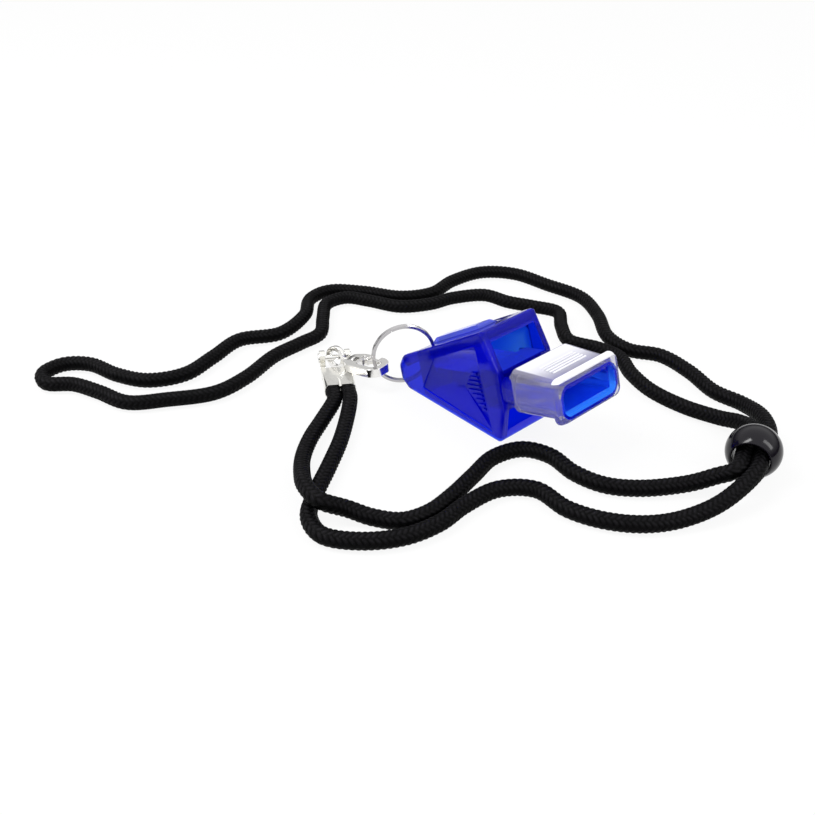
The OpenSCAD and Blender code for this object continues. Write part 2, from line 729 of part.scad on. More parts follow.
neck_loop_route = concat(
    [bead_point(-1, 0), bead_point(-1, bead_run)],
    [[60, 39.5, 5.4], [53, 40.5, 3], [43, 39, 2.3], [32, 39, 2.3], [22, 42.5, 2.3], [14, 47.5, 2.3],
     [6, 47, 2.3], [-3, 44, 2.3], [-11, 49.5, 2.3], [-18, 56, 2.3], [-26, 53, 2.3], [-34, 49, 2.3],
     [-43, 46.5, 2.3], [-48.5, 37, 2.3], [-50.5, 28, 2.3], [-56, 19, 2.3], [-66, 14, 2.3], [-73, 9.5, 2.3],
     [-73.5, 1.5, 2.3], [-66.5, -5.5, 2.3], [-59, -12.5, 2.3], [-58, -21, 2.3], [-57, -32, 2.3],
     [-52.5, -45, 2.3], [-51.5, -57, 2.3], [-57.5, -69, 2.3], [-63.5, -78, 2.3], [-74, -81.5, 2.3],
     [-82.5, -85, 2.3], [-88, -90.5, 2.3], [-94, -89, 2.3], [-95, -82, 2.3], [-89.5, -76, 2.3],
     [-79, -73, 2.3], [-70, -67.5, 2.3], [-66, -57.5, 2.3], [-69, -46, 2.3], [-72.5, -34, 2.3],
     [-67.5, -22, 2.3], [-72, -9, 2.3], [-80, -0.5, 2.3], [-80.5, 9, 2.3], [-72, 17, 2.3], [-61, 24, 2.3],
     [-56, 34, 2.3], [-58, 46, 2.3], [-56, 59, 2.3], [-47, 67, 2.3], [-34, 69, 2.3], [-20, 70.5, 2.3],
     [-8, 64.5, 2.3], [3, 55.5, 2.3], [13, 53.5, 2.3], [22, 58, 2.3], [33, 56.5, 2.3], [44, 52.5, 2.3],
     [54, 51.5, 3.2], [63, 45.5, 6]],
    [bead_point(1, bead_run), bead_point(1, 0)]);

cord_sides = 8;

// Round tube swept along a route, with a ring square to the path at every point
function way(r, i) = r[min(i + 1, len(r) - 1)] - r[max(i - 1, 0)];
function end_way(r, i) = i == 0 ? r[1] - r[0] : i == len(r) - 1 ? r[i] - r[i - 1] : way(r, i);
function ring_points(r, i) =
    let (t = unit2(end_way(r, i)),
         s = unit2(cross([0, 0, 1], t)),
         n = cross(t, s))
    [for (k = [0 : cord_sides - 1])
        let (a = 360 * (k + 0.5) / cord_sides)
        r[i] + cord_d / 2 * (s * cos(a) + n * sin(a))];

module cord_tube(r) {
    rings = len(r);
    points = [for (i = [0 : rings - 1]) each ring_points(r, i)];
    sides = [for (i = [0 : rings - 2], k = [0 : cord_sides - 1])
        let (a = i * cord_sides + k,
             b = i * cord_sides + (k + 1) % cord_sides)
        each [[a, a + cord_sides, b + cord_sides], [a, b + cord_sides, b]]];
    first = [for (k = [0 : cord_sides - 1]) k];
    last = [for (k = [cord_sides - 1 : -1 : 0]) (rings - 1) * cord_sides + k];
    polyhedron(points = points, faces = concat(sides, [first], [last]));
}

module strand_a() {
    color("black")
        cord_tube(strand_a_route);
}

module strand_b() {
    color("black")
        cord_tube(strand_b_route);
}

module neck_loop() {
    color("black")
        cord_tube(neck_loop_route);
}

module slide_bead() {
    color("black")
        translate(bead_at)
            rotate([90, 0, bead_turn + 90])
                difference() {
                    sphere(d = bead_d);
                    cylinder(d = bead_hole_d, h = bead_d * 2, center = true);
                }
}

whistle_core();
cover_left();
cover_right();
mouth_grip();
split_ring();
clasp_body();
clasp_lever();
lever_pin();
lever_spring();
swivel_eye();
crimp();
crimp_pin();
strand_a();
strand_b();
neck_loop();
slide_bead();
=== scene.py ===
import json
import math

import bmesh
import bpy
import numpy as np
from mathutils import Matrix, Vector
from mathutils.bvhtree import BVHTree
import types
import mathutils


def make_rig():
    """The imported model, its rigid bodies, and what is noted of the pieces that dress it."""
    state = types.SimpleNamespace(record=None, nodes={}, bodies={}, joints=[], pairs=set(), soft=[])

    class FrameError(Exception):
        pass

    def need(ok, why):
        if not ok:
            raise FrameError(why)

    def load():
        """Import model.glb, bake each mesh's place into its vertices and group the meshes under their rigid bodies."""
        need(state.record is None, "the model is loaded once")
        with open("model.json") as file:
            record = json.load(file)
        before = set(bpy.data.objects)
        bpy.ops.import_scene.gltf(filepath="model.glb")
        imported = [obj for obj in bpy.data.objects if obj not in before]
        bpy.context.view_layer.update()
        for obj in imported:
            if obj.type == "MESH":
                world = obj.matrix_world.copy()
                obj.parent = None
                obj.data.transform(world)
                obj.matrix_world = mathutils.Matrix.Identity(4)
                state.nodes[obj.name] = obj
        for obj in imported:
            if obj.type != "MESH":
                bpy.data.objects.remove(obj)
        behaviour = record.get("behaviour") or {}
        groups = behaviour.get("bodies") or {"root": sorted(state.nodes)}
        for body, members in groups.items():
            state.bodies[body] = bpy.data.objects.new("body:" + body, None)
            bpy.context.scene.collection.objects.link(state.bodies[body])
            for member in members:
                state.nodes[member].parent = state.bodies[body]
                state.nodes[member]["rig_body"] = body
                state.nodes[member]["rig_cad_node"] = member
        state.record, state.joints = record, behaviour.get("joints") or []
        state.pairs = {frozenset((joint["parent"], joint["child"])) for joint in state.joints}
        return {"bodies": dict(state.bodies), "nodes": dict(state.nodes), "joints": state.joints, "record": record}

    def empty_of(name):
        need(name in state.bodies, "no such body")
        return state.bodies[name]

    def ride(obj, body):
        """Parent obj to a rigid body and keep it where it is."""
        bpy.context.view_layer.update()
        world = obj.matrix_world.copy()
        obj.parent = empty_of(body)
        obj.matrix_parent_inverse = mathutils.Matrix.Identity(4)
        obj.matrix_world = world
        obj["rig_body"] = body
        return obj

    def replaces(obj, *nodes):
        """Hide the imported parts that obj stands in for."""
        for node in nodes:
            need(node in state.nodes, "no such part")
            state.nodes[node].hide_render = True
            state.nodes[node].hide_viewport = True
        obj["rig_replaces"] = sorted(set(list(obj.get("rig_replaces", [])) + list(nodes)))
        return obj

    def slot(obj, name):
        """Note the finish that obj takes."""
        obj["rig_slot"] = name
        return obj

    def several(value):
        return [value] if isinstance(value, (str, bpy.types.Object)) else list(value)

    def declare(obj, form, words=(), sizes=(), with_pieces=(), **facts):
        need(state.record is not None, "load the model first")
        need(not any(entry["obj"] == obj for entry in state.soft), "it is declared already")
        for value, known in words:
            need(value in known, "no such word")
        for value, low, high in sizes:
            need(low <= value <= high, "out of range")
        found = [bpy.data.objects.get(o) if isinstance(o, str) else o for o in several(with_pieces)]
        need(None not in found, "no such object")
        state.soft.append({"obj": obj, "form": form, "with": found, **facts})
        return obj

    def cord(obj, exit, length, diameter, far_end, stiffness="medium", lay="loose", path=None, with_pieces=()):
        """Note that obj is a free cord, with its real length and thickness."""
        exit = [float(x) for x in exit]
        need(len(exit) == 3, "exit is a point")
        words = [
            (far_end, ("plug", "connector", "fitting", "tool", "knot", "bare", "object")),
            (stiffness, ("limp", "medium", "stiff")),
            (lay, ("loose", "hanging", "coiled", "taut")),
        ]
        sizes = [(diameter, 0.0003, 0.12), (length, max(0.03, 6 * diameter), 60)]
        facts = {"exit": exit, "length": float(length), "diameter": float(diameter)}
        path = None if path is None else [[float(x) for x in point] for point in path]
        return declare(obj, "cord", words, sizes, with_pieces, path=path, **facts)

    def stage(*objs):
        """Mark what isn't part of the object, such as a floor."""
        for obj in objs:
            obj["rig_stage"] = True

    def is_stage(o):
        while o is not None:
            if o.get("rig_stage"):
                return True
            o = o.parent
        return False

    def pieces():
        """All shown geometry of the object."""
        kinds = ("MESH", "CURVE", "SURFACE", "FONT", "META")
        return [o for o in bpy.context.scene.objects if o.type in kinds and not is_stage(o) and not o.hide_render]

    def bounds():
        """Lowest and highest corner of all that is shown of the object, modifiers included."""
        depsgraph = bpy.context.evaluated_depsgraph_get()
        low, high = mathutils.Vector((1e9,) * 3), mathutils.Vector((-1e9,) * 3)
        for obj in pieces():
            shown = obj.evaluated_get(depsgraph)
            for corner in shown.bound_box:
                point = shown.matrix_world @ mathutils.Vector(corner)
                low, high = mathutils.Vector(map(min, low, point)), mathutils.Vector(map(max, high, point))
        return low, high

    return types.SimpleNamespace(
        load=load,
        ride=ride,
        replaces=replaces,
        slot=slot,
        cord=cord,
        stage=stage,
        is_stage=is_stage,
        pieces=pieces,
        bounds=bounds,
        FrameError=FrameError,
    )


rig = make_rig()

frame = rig.load()
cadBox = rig.bounds()
nodes = frame["nodes"]
slotOf = {entry["node"]: entry["material_slot"] for entry in frame["record"]["subparts"]}
bodyOf = {name: body for body, members in frame["record"]["behaviour"]["bodies"].items() for name in members}
mm = 0.001
print("frame loaded:", len(nodes), "nodes")


class Wire:  # one node output, with arithmetic
    def __init__(self, nodeSet, socket):
        self.nodeSet = nodeSet
        self.socket = socket

    def maths(self, operation, *values):
        return self.nodeSet.maths(operation, *values)

    def __add__(self, other):
        return self.maths("ADD", self, other)

    def __radd__(self, other):
        return self.maths("ADD", other, self)

    def __sub__(self, other):
        return self.maths("SUBTRACT", self, other)

    def __rsub__(self, other):
        return self.maths("SUBTRACT", other, self)

    def __mul__(self, other):
        return self.maths("MULTIPLY", self, other)

    def __rmul__(self, other):
        return self.maths("MULTIPLY", other, self)

    def __lt__(self, other):
        return self.maths("LESS_THAN", self, other)

    def __gt__(self, other):
        return self.maths("GREATER_THAN", self, other)

    def __abs__(self):
        return self.maths("ABSOLUTE", self)


class NodeSet:  # the nodes of a material or of the world
    def __init__(self, tree):
        self.tree = tree

    def put(self, socket, value):
        if isinstance(value, Wire):
            self.tree.links.new(value.socket, socket)
        else:
            socket.default_value = value

    def node(self, kind, settings=None, inputs=(), output=0):
        made = self.tree.nodes.new(kind)
        for key, value in (settings or {}).items():
            setattr(made, key, value)
        pairs = inputs.items() if isinstance(inputs, dict) else enumerate(inputs)
        for key, value in pairs:
            self.put(made.inputs[key], value)
        return Wire(self, made.outputs[output])

    def maths(self, operation, *values):
        return self.node("ShaderNodeMath", {"operation": operation}, list(values))

    def larger(self, first, second):
        return self.maths("MAXIMUM", first, second)

    def spread(self, value, low, high, newLow, newHigh):
        return self.node("ShaderNodeMapRange", inputs=[value, low, high, newLow, newHigh])

    def along(self, vector, axis):
        return self.node("ShaderNodeVectorMath", {"operation": "DOT_PRODUCT"}, [vector, axis], output="Value")

    def rays(self, kind):  # 1 for rays of this kind
        return self.node("ShaderNodeLightPath", output="Is %s Ray" % kind)


class Finish(NodeSet):  # one material
    def __init__(self, name, **shaderValues):
        self.material = bpy.data.materials.new(name)
        self.material.use_nodes = True
        super().__init__(self.material.node_tree)
        self.shader = self.tree.nodes["Principled BSDF"]
        self.end = self.tree.nodes["Material Output"]
        for socketName, value in shaderValues.items():
            self.feed(socketName.replace("_", " "), value)

    def feed(self, socketName, value):
        self.put(self.shader.inputs[socketName], value)

    def place(self):  # object coordinates, in metres
        return self.node("ShaderNodeTexCoord", output="Object")

    def facing(self, axis):
        return self.along(self.node("ShaderNodeNewGeometry", output="Normal"), axis)

    def noise(self, scale, detail=3, rough=0.5):
        return self.node("ShaderNodeTexNoise", inputs={
            "Vector": self.place(), "Scale": scale, "Detail": detail, "Roughness": rough})

    def drift(self, scale, low, high, detail=3, rough=0.5):  # noise between two values
        return self.spread(self.noise(scale, detail, rough), 0.3, 0.7, low, high)

    def blend(self, factor, first, second):
        return self.node("ShaderNodeMix", {"data_type": "RGBA"}, {0: factor, 6: first, 7: second}, output=2)

    def mixWith(self, share, other):  # other is the output of a second shader
        first = Wire(self, self.shader.outputs[0])
        mixed = self.node("ShaderNodeMixShader", inputs={0: share, 1: first, 2: other})
        self.put(self.end.inputs["Surface"], mixed)

    def bump(self, height, strength, distance):
        self.feed("Normal", self.node("ShaderNodeBump", inputs={
            "Strength": strength, "Distance": distance, "Height": height}))


def paint(obj, finish):
    obj.data.materials.clear()
    obj.data.materials.append(finish.material)


def addObject(name, data):
    obj = bpy.data.objects.new(name, data)
    bpy.context.scene.collection.objects.link(obj)
    return obj


def dress(obj, body, slot, finish, replaced):
    obj.data.shade_smooth()
    paint(obj, finish)
    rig.ride(obj, body)
    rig.slot(obj, slot)
    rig.replaces(obj, replaced)


def meshPiece(name, verts, faces, node, finish):
    mesh = bpy.data.meshes.new(name)
    mesh.from_pydata(verts, [], faces)
    mesh.validate()
    obj = addObject(name, mesh)
    dress(obj, bodyOf[node], slotOf[node], finish, node)
    return obj


# The photograph's view: a 41.5 mm lens from 34 degrees above the table
cameraSet = {"place": (153.8 * mm, -170 * mm, 150.15 * mm), "azimuth": 47.37, "elevation": 33.77,
             "roll": 0.606, "focalPixels": 939.69, "framePixels": 815, "sensor": 36,
             "near": 0.01, "far": 20}


def makeCamera():
    data = bpy.data.cameras.new("camera")
    data.sensor_width = cameraSet["sensor"]
    data.lens = cameraSet["sensor"] * cameraSet["focalPixels"] / cameraSet["framePixels"]
    data.clip_start = cameraSet["near"]
    data.clip_end = cameraSet["far"]
    camera = addObject("camera", data)
    azimuth, elevation, roll = (math.radians(cameraSet[key]) for key in ("azimuth", "elevation", "roll"))
    back = Vector((math.sin(azimuth) * math.cos(elevation), -math.cos(azimuth) * math.cos(elevation),
                   math.sin(elevation)))
    right = Vector((math.cos(azimuth), math.sin(azimuth), 0))
    up = back.cross(right)
    rolledRight = right * math.cos(roll) + up * math.sin(roll)
    rolledUp = up * math.cos(roll) - right * math.sin(roll)
    turn = Matrix((rolledRight, rolledUp, back)).transposed().to_4x4()
    camera.matrix_world = Matrix.Translation(cameraSet["place"]) @ turn
    bpy.context.scene.camera = camera


makeCamera()
print("camera placed")

# Braided cord: the route's points are those of the part's source
cordSet = {"diameter": 4.5 * mm, "relief": 0.3 * mm, "yarns": 8, "yarnStep": 1.45 * mm, "sides": 48,
           "ringStep": 0.26 * mm, "onTable": 2.3, "inCrimp": 2.5 * mm, "squeeze": 0.14 * mm}
crimpSet = {"place": (-42.05 * mm, -20 * mm), "turn": -33, "length": 17 * mm}
beadSet = {"place": (70.5 * mm, 28 * mm, 7.15 * mm), "turn": 110, "run": 9.5 * mm, "diameter": 14.3 * mm,
           "hole": 9.5 * mm, "lip": 0.5 * mm, "lipDepth": 0.9, "sides": 96, "arcSteps": 40, "lipSteps": 8}


def turned(degrees, x, y):
    a = math.radians(degrees)
    return x * math.cos(a) - y * math.sin(a), x * math.sin(a) + y * math.cos(a)


def crimpPoint(side, x):
    dx, dy = turned(crimpSet["turn"], x, side * cordSet["diameter"] / 2)
    return (crimpSet["place"][0] + dx, crimpSet["place"][1] + dy, cordSet["inCrimp"])


def beadPoint(side, x):
    dx, dy = turned(beadSet["turn"], x, -side * (cordSet["diameter"] / 2 - cordSet["squeeze"]))
    return (beadSet["place"][0] + dx, beadSet["place"][1] + dy, beadSet["place"][2])


def inMetres(points):  # a point with no height lies on the table
    return [(x * mm, y * mm, (*height, cordSet["onTable"])[0] * mm) for x, y, *height in points]


def fromCrimp(side):
    return [crimpPoint(side, crimpSet["length"]), crimpPoint(side, crimpSet["length"] + cordSet["diameter"])]


strandARoute = fromCrimp(-1) + inMetres([
    (-20, -42), (-15, -50, 2.4), (-9, -57, 3), (-2, -62.5, 4.8), (5, -66.5, 6.6), (11.5, -67, 6.4),
    (15.5, -62, 3.6), (21, -58.5, 2.4), (26.5, -54), (28.5, -47), (27.6, -38.5), (25.5, -29),
    (23.5, -19.5), (26, -11), (33, -7.5), (42, -8.5), (50.5, -6.5), (57.5, -0.5), (64, 8, 3),
    (68.5, 14, 5)
]) + [beadPoint(-1, -beadSet["run"]), beadPoint(-1, 0)]
strandBRoute = fromCrimp(1) + inMetres([
    (-17, -35.5), (-9, -44.5), (-2, -54), (5, -64), (10.5, -70), (18, -71.5), (25.5, -66), (31, -57.5),
    (33, -48), (32.3, -38.5), (33.5, -28), (40, -21), (50, -21), (59, -17.5), (66.5, -11),
    (71.5, -2.5, 2.6), (75, 7.5, 4.4)
]) + [beadPoint(1, -beadSet["run"]), beadPoint(1, 0)]
neckLoopRoute = [beadPoint(-1, 0), beadPoint(-1, beadSet["run"])] + inMetres([
    (60, 39.5, 5.4), (53, 40.5, 3), (43, 39), (32, 39), (22, 42.5), (14, 47.5), (6, 47), (-3, 44),
    (-11, 49.5), (-18, 56), (-26, 53), (-34, 49), (-43, 46.5), (-48.5, 37), (-50.5, 28), (-56, 19),
    (-66, 14), (-73, 9.5), (-73.5, 1.5), (-66.5, -5.5), (-59, -12.5), (-58, -21), (-57, -32),
    (-52.5, -45), (-51.5, -57), (-57.5, -69), (-63.5, -78), (-74, -81.5), (-82.5, -85), (-88, -90.5),
    (-94, -89), (-95, -82), (-89.5, -76), (-79, -73), (-70, -67.5), (-66, -57.5), (-69, -46),
    (-72.5, -34), (-67.5, -22), (-72, -9), (-80, -0.5), (-80.5, 9), (-72, 17), (-61, 24), (-56, 34),
    (-58, 46), (-56, 59), (-47, 67), (-34, 69), (-20, 70.5), (-8, 64.5), (3, 55.5), (13, 53.5), (22, 58),
    (33, 56.5), (44, 52.5), (54, 51.5, 3.2), (63, 45.5, 6)
]) + [beadPoint(1, beadSet["run"]), beadPoint(1, 0)]


def smoothPath(route, step):  # Catmull-Rom through the route, then even steps
    points = np.array(route, float)
    padded = np.vstack([2 * points[0] - points[1], points, 2 * points[-1] - points[-2]])
    t = np.linspace(0, 1, 40, endpoint=False)[:, None]
    dense = []
    for i in range(1, len(padded) - 2):
        p0, p1, p2, p3 = padded[i - 1:i + 3]
        dense.append(0.5 * (2 * p1 + (p2 - p0) * t + (2 * p0 - 5 * p1 + 4 * p2 - p3) * t ** 2
                            + (3 * p1 - p0 - 3 * p2 + p3) * t ** 3))
    dense = np.vstack([*dense, points[-1:]])
    travelled = np.concatenate([[0], np.cumsum(np.linalg.norm(np.diff(dense, axis=0), axis=1))])
    even = np.linspace(0, travelled[-1], int(travelled[-1] / step) + 1)
    return np.stack([np.interp(even, travelled, dense[:, k]) for k in range(3)], axis=1), travelled[-1]


def braidHeight(angle, run):  # 0 to 1 over the yarns of a two-over-two braid
    a = angle / (2 * math.pi) * cordSet["yarns"] + run / cordSet["yarnStep"]
    b = -angle / (2 * math.pi) * cordSet["yarns"] + run / cordSet["yarnStep"]
    rowA, rowB = np.floor(a), np.floor(b)
    over = np.mod(rowA - rowB, 4) < 2
    alongA = np.mod(rowA - b + 2, 4) - 2  # -1 to 1 over a float of the first set
    alongB = np.mod(a - rowB + 3, 4) - 2
    acrossA, acrossB = np.sin(math.pi * (a - rowA)), np.sin(math.pi * (b - rowB))
    floatA = acrossA ** 0.6 * (0.5 + 0.5 * np.cos(math.pi / 2 * np.clip(alongA, -1, 1)))
    floatB = acrossB ** 0.6 * (0.5 + 0.5 * np.cos(math.pi / 2 * np.clip(alongB, -1, 1)))
    return np.where(over, floatA, floatB)


def braidedTube(name, route, node, finish):
    path, length = smoothPath(route, cordSet["ringStep"])
    tangent = np.gradient(path, axis=0)
    tangent /= np.linalg.norm(tangent, axis=1)[:, None]
    side = np.cross([0, 0, 1], tangent)
    side /= np.linalg.norm(side, axis=1)[:, None]
    lift = np.cross(tangent, side)
    count, sides = len(path), cordSet["sides"]
    angle = np.linspace(0, 2 * math.pi, sides, endpoint=False)[None, :]
    run = np.linspace(0, length, count)[:, None]
    height = braidHeight(angle, run)
    radius = cordSet["diameter"] / 2 - cordSet["relief"] * (1 - height)
    ring = (path[:, None, :] + radius[..., None] * (np.cos(angle)[..., None] * side[:, None, :]
                                                  + np.sin(angle)[..., None] * lift[:, None, :]))
    i, k = np.meshgrid(np.arange(count - 1), np.arange(sides), indexing="ij")
    a = (i * sides + k).ravel()
    b = (i * sides + (k + 1) % sides).ravel()
    faces = np.stack([a, b, b + sides, a + sides], axis=1).tolist()
    faces.append(list(range(sides - 1, -1, -1)))
    faces.append(list(range((count - 1) * sides, count * sides)))
    obj = meshPiece(name, ring.reshape(-1, 3).tolist(), faces, node, finish)
    crest = obj.data.attributes.new("crest", "FLOAT", "POINT")
    crest.data.foreach_set("value", height.ravel().astype("f"))
    return obj, path, length


# between is the painted shade colour of the yarn valleys, and crest the painted light colour of yarns facing lightFrom
yarnSet = {"ior": 1.14, "lightFrom": (-0.2, -0.3, 0.93), "between": (0.0003, 0.0003, 0.0004, 1),
           "crest": (0.01, 0.0095, 0.0112, 1)}


def cordFinish():  # painted shade between the yarns, and painted light on the yarns that look up
    finish = Finish("braidedPolyester", IOR=yarnSet["ior"])
    fibre = finish.noise(2600, 2, 0.6)
    crest = finish.node("ShaderNodeAttribute", {"attribute_name": "crest"}, output="Fac")
    lookingUp = finish.facing(yarnSet["lightFrom"])
    # painted light on the yarn crests that face lightFrom, with random tone from the drift
    lit = finish.spread(crest, 0.35, 0.95, 0, 1) * finish.spread(lookingUp, 0.1, 0.9, 0.1, 1)
    lit = lit * finish.drift(420, 0.5, 1.2, 3, 0.6)
    finish.feed("Base Color", finish.blend(lit, yarnSet["between"], yarnSet["crest"]))
    finish.feed("Roughness", finish.spread(fibre, 0.3, 0.7, 0.4, 0.65))
    finish.bump(fibre, 0.5, 0.12 * mm)
    return finish


cordBraid = cordFinish()
strandA, pathA, lengthA = braidedTube("cordStrandA", strandARoute, "strand_a", cordBraid)
strandB, pathB, lengthB = braidedTube("cordStrandB", strandBRoute, "strand_b", cordBraid)
neckLoop, pathLoop, lengthLoop = braidedTube("cordNeckLoop", neckLoopRoute, "neck_loop", cordBraid)
print("cords braided: %.3f m, %.3f m and %.3f m" % (lengthA, lengthB, lengthLoop))

# Places on the whistle, in its own frame: along its axis, across it and up from it
bodySet = {"tilt": math.radians(17.15), "middle": 36.216 * mm}
# the colours in tubeSet, chamberSet and ridgeSet are painted glow and painted shade, given as emission colour
tubeSet = {"drop": 1 * mm, "window": 57.6 * mm, "grip": 61.1 * mm, "step": 75.4 * mm, "end": 76.84 * mm,
           "boreHeight": 5.5 * mm, "boreWidth": 18.4 * mm, "stepHeight": 7.7 * mm, "stepWidth": 20.4 * mm,
           "deepFrom": 64.1 * mm, "boreTop": (0.001, 0.001, 0.04, 1), "boreLow": (0.002, 0.034, 0.46, 1),
           "boreDeep": (0, 0, 0.03, 1), "stepTop": (0.001, 0.002, 0.1, 1), "stepLow": (0.03, 0.24, 0.75, 1),
           "underGrip": (0.01, 0.011, 0.24, 1)}
chamberSet = {"rear": 28.2 * mm, "front": 55 * mm, "floor": 2.4 * mm, "width": 16.9 * mm, "roof": 3.3 * mm,
              "low": 3 * mm, "high": 10 * mm, "topLight": (0.008, 0.012, 0.1, 1),
              "lowLight": (0.02, 0.05, 0.42, 1)}
ridgeSet = {"rear": 22.6 * mm, "front": 47 * mm, "width": 8.2 * mm, "over": 0.1 * mm,
            "light": (0.1, 0.13, 0.34, 1)}


def whistlePlace(finish):
    c, s = math.cos(bodySet["tilt"]), math.sin(bodySet["tilt"])
    fromMiddle = (bodySet["middle"], 0, 0)
    shifted = finish.node("ShaderNodeVectorMath", {"operation": "ADD"}, [finish.place(), fromMiddle])
    return [finish.along(shifted, axis) for axis in ((c, 0, s), (0, 1, 0), (-s, 0, c))]


def innerLight(finish):  # painted glow, as emission colour, for the light that clear walls let into the mouth tube, the upper chamber and the ridge
    forward, across, up = whistlePlace(finish)
    level = up + tubeSet["drop"]
    face = forward * math.tan(bodySet["tilt"])  # height of the top face

    def within(value, size):
        return abs(value) < size / 2

    def between(low, high):
        return (forward > low) * (forward < high)

    chamber = between(chamberSet["rear"], chamberSet["front"]) * within(across, chamberSet["width"]) \
        * (up > chamberSet["floor"]) * (up < face - chamberSet["roof"])
    # painted shade: the chamber's glow is darker higher up
    chamberLight = finish.blend(finish.spread(up, chamberSet["low"], chamberSet["high"], 1, 0),
                                chamberSet["topLight"], chamberSet["lowLight"])
    ridge = between(ridgeSet["rear"], ridgeSet["front"]) * within(across, ridgeSet["width"]) \
        * (up > face + ridgeSet["over"])
    bore = between(tubeSet["window"], tubeSet["end"]) * within(level, tubeSet["boreHeight"]) \
        * within(across, tubeSet["boreWidth"])
    step = between(tubeSet["step"], tubeSet["end"]) * within(level, tubeSet["stepHeight"]) \
        * within(across, tubeSet["stepWidth"]) - bore
    # painted shade: the bore's glow is darker towards its top and deeper inside
    low = finish.spread(level, -tubeSet["boreHeight"] / 2, tubeSet["boreHeight"] / 2, 1, 0)
    deep = finish.spread(forward, tubeSet["deepFrom"], tubeSet["end"], 0.12, 1)
    boreLight = finish.blend(low, tubeSet["boreTop"], tubeSet["boreLow"])
    boreLight = finish.blend(deep, tubeSet["boreDeep"], boreLight)
    stepLight = finish.blend(low, tubeSet["stepTop"], tubeSet["stepLow"])
    # painted glow under the grip, with the bore, step, chamber and ridge glows laid over it
    covered = between(tubeSet["grip"], tubeSet["end"]) - bore
    light = finish.blend(finish.larger(covered, 0), (0, 0, 0, 1), tubeSet["underGrip"])
    for mask, colour in ((bore, boreLight), (finish.larger(step, 0), stepLight), (chamber, chamberLight),
                         (ridge, ridgeSet["light"])):
        light = finish.blend(mask, light, colour)
    return light


# Whistle body: blue plastic that is clear where thin and scatters blue where thick, with a painted glow given as
# emission colour
plasticSet = {"clear": (0.55, 0.75, 0.85, 1), "clearIor": 1.26, "absorbs": (0.01, 0.5, 0.988, 1),
              "density": 2200, "milk": (0.004, 0.006, 0.6, 1), "milkIor": 1.3, "milkRough": 0.12,
              "milkShare": (0.28, 0.34)}


def bluePlastic():
    finish = Finish("cobaltPlastic", Base_Color=plasticSet["clear"], IOR=plasticSet["clearIor"],
                    Transmission_Weight=1, Emission_Strength=1)
    finish.put(finish.end.inputs["Volume"], finish.node("ShaderNodeVolumeAbsorption", inputs={
        "Color": plasticSet["absorbs"], "Density": plasticSet["density"]}))
    finish.feed("Roughness", finish.drift(300, 0.02, 0.06))
    milk = finish.node("ShaderNodeBsdfPrincipled", inputs={
        "Base Color": plasticSet["milk"], "Roughness": plasticSet["milkRough"], "IOR": plasticSet["milkIor"]})
    finish.mixWith(finish.drift(90, *plasticSet["milkShare"], 2), milk)
    # painted glow: the emission colour stands in for light inside the whistle
    finish.feed("Emission Color", innerLight(finish))
    return finish


# Clear elastomer with a milky layer and painted sheen: more of the milky layer on the faces that look up, and painted
# white highlights on the ridges
gripSet = {"rear": 61.06 * mm, "reach": 13.6 * mm, "rearTop": 6.5 * mm, "frontTop": 4.8 * mm,
           "ridgeHeight": 0.08 * mm, "clear": (0.95, 0.95, 1, 1), "clearIor": 1.3,
           "milkAndSheen": (0.32, 0.31, 0.41, 1), "ridgeHighlight": (0.85, 0.85, 0.9, 1), "milkAndSheenIor": 1.42,
           "milkAndSheenShare": (0.24, 0.6), "ridgeHighlightShare": 0.7}


def gripClear():
    finish = Finish("clearElastomer", Base_Color=gripSet["clear"], IOR=gripSet["clearIor"],
                    Transmission_Weight=1, Specular_IOR_Level=0.4)
    finish.feed("Roughness", finish.drift(500, 0.06, 0.14))
    forward, across, up = whistlePlace(finish)
    top = finish.spread(forward, gripSet["rear"], gripSet["rear"] + gripSet["reach"],
                        gripSet["rearTop"], gripSet["frontTop"])
    ridge = finish.spread(up - top, 0, gripSet["ridgeHeight"], 0, 1)
    # painted highlight: the ridges take a near-white colour, and the rest takes the milky colour
    milkAndSheenLayer = finish.node("ShaderNodeBsdfPrincipled", inputs={
        "Base Color": finish.blend(ridge, gripSet["milkAndSheen"], gripSet["ridgeHighlight"]),
        "Roughness": 0.4, "IOR": gripSet["milkAndSheenIor"]})
    lookingUp = finish.facing((-math.sin(bodySet["tilt"]), 0, math.cos(bodySet["tilt"])))
    # painted sheen: the milky share grows on faces that look up, with random variation from the drift
    share = finish.spread(lookingUp, 0.45, 0.98, *gripSet["milkAndSheenShare"]) * finish.drift(160, 0.85, 1.1)
    finish.mixWith(share + ridge * gripSet["ridgeHighlightShare"], milkAndSheenLayer)
    return finish


def brightMetal(name, colour, low, high):
    finish = Finish(name, Base_Color=colour, Metallic=1)
    finish.feed("Roughness", finish.drift(900, low, high))
    finish.bump(finish.noise(1800, 2), 0.15, 0.02 * mm)
    return finish


def beadFinish():
    finish = Finish("glossBlack", Base_Color=(0.004, 0.003, 0.006, 1), IOR=1.5, Specular_IOR_Level=0.28)
    finish.feed("Roughness", finish.drift(600, 0.08, 0.16))
    return finish


